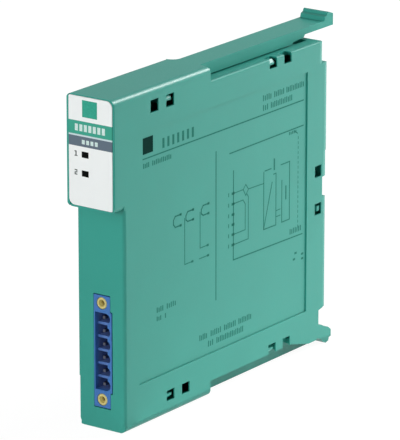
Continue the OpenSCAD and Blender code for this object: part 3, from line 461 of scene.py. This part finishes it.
def print_line(form, start, end, width=LINE):
    """Adds one printed line between two points, which runs past both by half its width"""
    start, end = Vector(start), Vector(end)
    run, middle = end - start, (start + end) / 2
    place = Vector((PANEL_X + (PRINT_PROUD - PRINT_THICKNESS / 2) * MM, middle.x * MM, middle.y * MM))
    size = Vector((PRINT_THICKNESS, run.length + width, width)) * MM
    turned = Matrix.Rotation(math.atan2(run.y, run.x), 4, "X") @ Matrix.Diagonal((*size, 1.0))
    bmesh.ops.create_cube(form, size=1.0, matrix=Matrix.Translation(place) @ turned)


def print_path(form, points, width=LINE):
    """Adds printed lines through a row of points"""
    for start, end in zip(points, points[1:]):
        print_line(form, start, end, width)


def print_strokes(form, height, tall, spans):
    """Adds rows of short upright strokes round a height, every third one a little lower"""
    pitch, width, lower = 0.85, 0.4, 0.85
    foot = height - tall / 2
    for start, end in spans:
        count = max(1, round((end - start) / pitch))
        for i in range(count):
            y = start + (i + 0.5) * (end - start) / count
            rise = lower if i % 3 == 1 else 1.0
            print_line(form, (y, foot), (y, foot + tall * rise - width), width)


def terminal(form, z):
    """Adds one terminal of the wiring sketch: its dot, and a tick in front of it"""
    dot_start, dot_end, tick_y, tick_half = 0.3, 0.9, -1.5, 0.4
    print_line(form, (dot_start, z), (dot_end, z), TERMINAL_DOT)
    print_line(form, (tick_y, z - tick_half), (tick_y, z + tick_half), THIN)


def sensor_bracket(form, y, low, foot=None):
    """Adds one sensor bracket of the wiring sketch, open to the rear, and its lead where a foot is given"""
    top, back_top, back_foot = 56.0, 55.0, 53.8
    bend, end, dot, lead_dot = y + 0.8, y + 3.4, 0.2, 0.3
    print_path(form, [(end, top), (bend, top), (y, back_top), (y, back_foot), (bend, low), (end, low)])
    for z in (top, low):
        print_line(form, (end - dot, z), (end, z), BRACKET_DOT)
    if foot:
        lead_y, lead_top, lead_end = y - 0.6, 54.4, y + 2.8
        print_path(form, [(lead_y, lead_top), (lead_y, foot), (lead_end, foot)], FINE)
        print_line(form, (lead_end, foot), (lead_end + lead_dot, foot), LEAD_DOT)


# Dividing lines of the panel, and two sides of the frame round the wiring sketch
lines = bmesh.new()
print_line(lines, (PRINT_FRONT, 75.5), (PRINT_REAR, 75.4))
print_line(lines, (-7.5, 69.9), (-7.5, 27.2))
print_line(lines, (-1.0, 67.9), (PRINT_REAR, 68.0))
print_path(lines, [(0.8, 62.5), (0.8, 36.7), (34.6, 36.0)])
piece("side_print_lines", lines, green_ink)

# Wiring sketch: the terminals, and their leads round a diamond
TERMINAL_HEIGHTS = (56.05, 53.0, 49.95, 47.05, 44.15, 41.15)
sketch = bmesh.new()
for z in TERMINAL_HEIGHTS:
    terminal(sketch, z)
print_path(sketch, [(0.8, 56.0), (5.5, 56.0), (6.7, 57.2), (8.0, 55.6), (6.7, 54.0), (5.5, 56.0)], FINE)
print_line(sketch, (8.0, 55.6), (15.5, 55.4), FINE)
print_path(sketch, [(0.8, 53.0), (5.4, 53.0), (6.5, 51.6), (6.5, 44.1), (0.8, 44.1)], FINE)
print_path(sketch, [(7.2, 54.4), (8.0, 53.4), (8.0, 41.1), (0.8, 41.1)], FINE)

# Its two boxes, open at their upper corners, the first with a diagonal, and the short links between them
print_path(sketch, [(15.5, 58.6), (15.5, 41.9), (21.5, 41.8), (21.5, 57.0), (20.3, 57.0)], THIN)
print_line(sketch, (15.5, 42.0), (19.6, 54.8), THIN)
print_path(sketch, [(23.9, 58.9), (28.2, 58.9), (28.2, 41.9), (24.4, 41.9), (24.4, 54.2)], THIN)
print_line(sketch, (26.4, 52.0), (26.4, 48.4), BOLD)
print_line(sketch, (16.0, 58.9), (19.0, 58.9), THIN)
print_line(sketch, (20.6, 58.4), (20.6, 61.2), SMALL_DOT)
for z in (46.0, 44.2):
    print_line(sketch, (21.6, z), (23.6, z), FINE)

# A broken line down its rear side, that ends in a short slanting one
DASH_COUNT, DASH_PITCH, DASH_LENGTH, DASH_TOP = 19, 1.45, 0.6, 65.2
for i in range(DASH_COUNT):
    dash_top = DASH_TOP - i * DASH_PITCH
    print_line(sketch, (32.4, dash_top), (32.4, dash_top - DASH_LENGTH), HAIR)
print_line(sketch, (30.6, 67.2), (32.0, 66.3), THIN)

# Three sensor brackets, and the lead under the last one
sensor_bracket(sketch, y=-27.4, low=52.9)
sensor_bracket(sketch, y=-21.6, low=53.2, foot=41.2)
sensor_bracket(sketch, y=-14.4, low=53.2, foot=44.1)
print_line(sketch, (-15.4, 41.1), (-11.2, 41.1), FINE)
print_line(sketch, (-11.4, 41.1), (-11.1, 41.1), LEAD_DOT)

# Four dots below the frame
FRAME_DOTS, FRAME_DOT_RUN = ((31.2, 31.0), (30.4, 29.3), (34.5, 30.0), (34.5, 28.6)), 0.5
for y, z in FRAME_DOTS:
    print_line(sketch, (y, z), (y + FRAME_DOT_RUN, z), SMALL_DOT)
piece("side_print_sketch", sketch, green_ink)

# Rows of strokes on the rest of the panel, each as its height, how tall it is and its spans
STROKE_ROWS = (
    (80.4, 1.7, [(14.7, 19.2), (20.2, 25.4), (26.2, 35.2)]),
    (77.6, 1.7, [(14.7, 17.6), (18.6, 29.4)]),
    (73.75, 1.4, [(-41.3, -38.3), (-37.2, -28.2)]),
    (67.3, 0.9, [(27.6, 31.6)]),
    (38.2, 1.6, [(28.2, 34.2)]),
    (18.2, 1.7, [(-15.5, -11.6), (-10.2, -4.9), (-3.8, 2.2), (3.2, 9.7)]),
    (15.5, 1.7, [(-11.5, -8.6), (-7.4, 5.8)]),
    (31.6, 1.5, [(-35.4, -32.0), (-30.8, -26.2)]),
    (29.1, 1.3, [(-35.4, -33.0), (-31.8, -30.6)]),
)
strokes = bmesh.new()
for height, tall, spans in STROKE_ROWS:
    print_strokes(strokes, height, tall, spans)
piece("side_print_dashes", strokes, green_ink)

# A plain square near the head, hardly longer than it is tall, and a row of plain bars beside it
SQUARE_SIZE, SQUARE_EXTRA, SQUARE_Y, SQUARE_Z = 4.55, 0.05, -39.0, 79.05
square = bmesh.new()
print_line(square, (SQUARE_Y, SQUARE_Z), (SQUARE_Y + SQUARE_EXTRA, SQUARE_Z), SQUARE_SIZE)
piece("side_print_square", square, mark_ink)

BAR_COUNT, BAR_START, BAR_PITCH, BAR_WIDTH = 7, -31.9, 2.25, 0.9
BAR_FOOT, BAR_TOP = 77.1, 79.0
bars = bmesh.new()
for i in range(BAR_COUNT):
    bar_y = BAR_START + BAR_PITCH * i
    print_line(bars, (bar_y, BAR_FOOT), (bar_y, BAR_TOP), BAR_WIDTH)
piece("side_print_bars", bars, green_ink)


def label_mark(form, low, high):
    """Adds a thin printed rectangle on the label between two corners, given as X and height in millimetres"""
    proud, sunk = 0.005, 0.02
    face = LABEL_Y / MM
    corners = (Vector((low[0], face - proud, low[1])) * MM, Vector((high[0], face + sunk, high[1])) * MM)
    place, size = (corners[0] + corners[1]) / 2, corners[1] - corners[0]
    bmesh.ops.create_cube(form, size=1.0, matrix=Matrix.Translation(place) @ Matrix.Diagonal((*size, 1.0)))


def label_row(form, count, start, pitch, width, foot, top):
    """Adds a row of printed bars on the label"""
    for i in range(count):
        left = start + pitch * i
        label_mark(form, (left, foot), (left + width, top))


# A plain square at the label's top, and rows of plain bars on its green and its grey band
label_square = bmesh.new()
label_mark(label_square, (-2.55, 88.7), (2.45, 93.4))
piece("label_square", label_square, label_green_ink)
label_bars = bmesh.new()
label_row(label_bars, count=7, start=-5.0, pitch=1.5, width=1.0, foot=84.7, top=86.6)
label_row(label_bars, count=4, start=-2.7, pitch=1.45, width=0.95, foot=81.2, top=82.4)
piece("label_bars", label_bars, pale_ink)

# Plain numbers beside the indicators, each from straight strokes that are given by two corners
NUMBER_ONE = (((-4.9, 77.6), (-4.5, 79.1)), ((-5.2, 78.8), (-4.5, 79.1)), ((-5.2, 77.6), (-4.2, 77.85)))
NUMBER_TWO = (((-5.2, 73.6), (-4.3, 73.9)), ((-4.6, 73.0), (-4.3, 73.9)), ((-5.2, 73.0), (-4.3, 73.25)),
              ((-5.2, 72.4), (-4.9, 73.25)), ((-5.2, 72.4), (-4.3, 72.7)))
numbers = bmesh.new()
for low, high in NUMBER_ONE + NUMBER_TWO:
    label_mark(numbers, low, high)
piece("indicator_numbers", numbers, grey_ink)


def turned_insert(name, node_name):
    """Brass insert turned from its section in millimetres: countersunk mouth, thread ridges and blind end"""
    chamfer, mouth, root, crest = 0.25, 1.0, 0.8, 0.66
    start, pitch, depth = 0.5, 0.4, 5.0
    spin_steps, merge_gap = 40, 0.001
    low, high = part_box(node_name)
    outer, length = (high.x - low.x) / 2 / MM, (high.y - low.y) / MM
    section = [(0, length), (outer, length), (outer, chamfer), (outer - chamfer, 0), (mouth, 0)]
    for i in range(int((depth - start) / pitch)):
        section += [(root, start + pitch * i), (crest, start + pitch * (i + 0.5))]
    section += [(root, depth), (0, depth)]
    axis = Vector(((low.x + high.x) / 2, low.y, (low.z + high.z) / 2))
    form = bmesh.new()
    rim = [form.verts.new(axis + Vector((across, along, 0)) * MM) for across, along in section]
    edges = [form.edges.new(pair) for pair in zip(rim, rim[1:])]
    bmesh.ops.spin(form, geom=rim + edges, cent=axis, axis=(0, 1, 0), angle=math.tau, steps=spin_steps,
                   use_merge=True)
    bmesh.ops.remove_doubles(form, verts=form.verts, dist=merge_gap * MM)
    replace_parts(piece(name, form, turned_brass), node_name)


turned_insert("upper_insert_turned", "upper_flange_insert")
turned_insert("lower_insert_turned", "lower_flange_insert")

# Strength of what reflections see all round and of the even fill on matt surfaces, where 1 is white
SURROUND, FILL = 0.6, 0.2


def studio_paper():
    """White paper on the floor

    The camera sees it white, apart from a faint shadow. Reflections see the surround, and beside the
    object's right side a sheen that grows to the rear. Anything else sees the paper as it is lit.
    """
    white, white_share = 1.06, 0.9
    sheen_rise, sheen_slope, sheen_start, sheen_end, sheen_edge = 2.35, 1.386, -0.15, 0.35, 0.02
    material, tree, place = new_material("white_paper_floor")
    ray = add(tree, "LightPath").outputs
    shiny, through = ray["Is Glossy Ray"], ray["Is Transmission Ray"]
    spot = add(tree, "SeparateXYZ", {"Vector": place}).outputs
    slant = add(tree, "Math", {0: spot["X"], 1: sheen_slope}, operation="MULTIPLY")
    slant = add(tree, "Math", {0: spot["Y"], 1: slant}, operation="SUBTRACT")
    rise = add(tree, "MapRange", {"Value": slant, "From Min": sheen_start, "From Max": sheen_end,
                                  "To Max": sheen_rise})
    beside = add(tree, "MapRange", {"Value": spot["X"], "From Min": -sheen_edge, "From Max": sheen_edge})
    sheen = add(tree, "Math", {0: rise, 1: beside}, operation="MULTIPLY")
    sheen = add(tree, "Math", {0: sheen, 1: SURROUND}, operation="ADD")
    level = add(tree, "Mix", {SHARE: ray["Is Camera Ray"], VALUE_A: sheen, VALUE_B: white})
    mirrored = add(tree, "Math", {0: shiny, 1: through}, operation="MAXIMUM")
    share = add(tree, "Math", {0: ray["Is Camera Ray"], 1: white_share}, operation="MULTIPLY")
    share = add(tree, "Math", {0: share, 1: mirrored}, operation="MAXIMUM")
    lit = add(tree, "BsdfPrincipled", {"Base Color": linear("#F4F4F2"), "Roughness": 0.9})
    glow = add(tree, "Emission", {"Color": (1, 1, 1, 1), "Strength": level})
    mixed = add(tree, "MixShader", {0: share, 1: lit, 2: glow})
    add(tree, "OutputMaterial", {"Surface": mixed}, is_active_output=True)
    return material


# Floor, which reaches this many metres to each side of the object
FLOOR_REACH = 4.0
floor_form = bmesh.new()
bmesh.ops.create_grid(floor_form, x_segments=1, y_segments=1, size=FLOOR_REACH)
floor_mesh = bpy.data.meshes.new("floor")
floor_form.to_mesh(floor_mesh)
floor_form.free()
floor = bpy.data.objects.new("floor", floor_mesh)
scene.collection.objects.link(floor)
floor_mesh.materials.append(studio_paper())

# World: the camera sees it white, reflections see the surround, and matt surfaces get the faint fill
world = bpy.data.worlds.new("studio")
scene.world = world
world.use_nodes = True
sky = world.node_tree
sky.nodes.clear()
ray = add(sky, "LightPath").outputs
mirrored = add(sky, "Math", {0: ray["Is Glossy Ray"], 1: ray["Is Transmission Ray"]}, operation="MAXIMUM")
unseen = add(sky, "Mix", {SHARE: mirrored, VALUE_A: FILL, VALUE_B: SURROUND})
strength = add(sky, "Mix", {SHARE: ray["Is Camera Ray"], VALUE_A: unseen, VALUE_B: 1.0})
dome = add(sky, "Background", {"Color": (1, 1, 1, 1), "Strength": strength})
add(sky, "OutputWorld", {"Surface": dome})


def softbox(name, place, aim, size, watts, matt=True, shiny=False):
    """An area light in metres that points at aim, and lights matt surfaces, shows in shiny ones, or both"""
    data = bpy.data.lights.new(name, "AREA")
    data.shape = "RECTANGLE"
    data.size, data.size_y = size
    data.energy = watts
    lamp = bpy.data.objects.new(name, data)
    scene.collection.objects.link(lamp)
    lamp.location = place
    lamp.rotation_mode = "QUATERNION"
    lamp.rotation_quaternion = (Vector(aim) - Vector(place)).to_track_quat("-Z", "Y")
    lamp.visible_camera = False
    lamp.visible_diffuse = matt
    lamp.visible_glossy = shiny


# Plain studio light on matt surfaces: from the right rear, the left front, the front, and high in front
MIDDLE = (0, 0, 0.05)
softbox("right_softbox", place=(0.6, 0.9, 0.3), aim=(0, 0.02, 0.05), size=(0.4, 0.4), watts=4.2)
softbox("left_softbox", place=(-0.9, -0.8, 0.35), aim=MIDDLE, size=(0.5, 0.5), watts=4.2)
softbox("front_softbox", place=(0.0, -1.2, 0.35), aim=MIDDLE, size=(0.3, 0.3), watts=4.7)
softbox("high_softbox", place=(-0.1, -0.9, 0.9), aim=MIDDLE, size=(0.3, 0.3), watts=1.2)

# Behind the object, for the light along its upper edges
softbox("rear_softbox", place=(0.3, 0.8, 0.6), aim=(0, 0, 0.08), size=(0.5, 0.15), watts=8.0, shiny=True)
softbox("edge_strip", place=(0.38, 0.8, 0.55), aim=(0, 0, 0.09), size=(0.5, 0.12), watts=2.4,
        matt=False, shiny=True)

# A panel that lies on the floor along the right side and lights it from below, as white paper does
softbox("bounce_panel", place=(0.08, 0.21, 0.002), aim=(0.08, 0.21, 1.0), size=(0.144, 0.51), watts=0.15)

# Camera at the photograph's viewing angle, on a long lens as product pictures are taken, in metres
# except for the lens and the sensor, which are in millimetres
AZIMUTH, ELEVATION = math.radians(35.815), math.radians(16.8)
DISTANCE, AIM = 1.1581, Vector((0.0001, -0.0046, 0.0483))
FOCAL_LENGTH, SENSOR_WIDTH = 340.96, 36
NEAREST, FARTHEST = 0.05, 20
camera_data = bpy.data.cameras.new("camera")
camera = bpy.data.objects.new("camera", camera_data)
scene.collection.objects.link(camera)
scene.camera = camera
camera_data.sensor_width = SENSOR_WIDTH
camera_data.lens = FOCAL_LENGTH
camera_data.clip_start, camera_data.clip_end = NEAREST, FARTHEST
look = Vector((-math.sin(AZIMUTH) * math.cos(ELEVATION),
               math.cos(AZIMUTH) * math.cos(ELEVATION),
               -math.sin(ELEVATION)))
camera.location = AIM - look * DISTANCE
camera.rotation_mode = "QUATERNION"
camera.rotation_quaternion = look.to_track_quat("-Z", "Y")
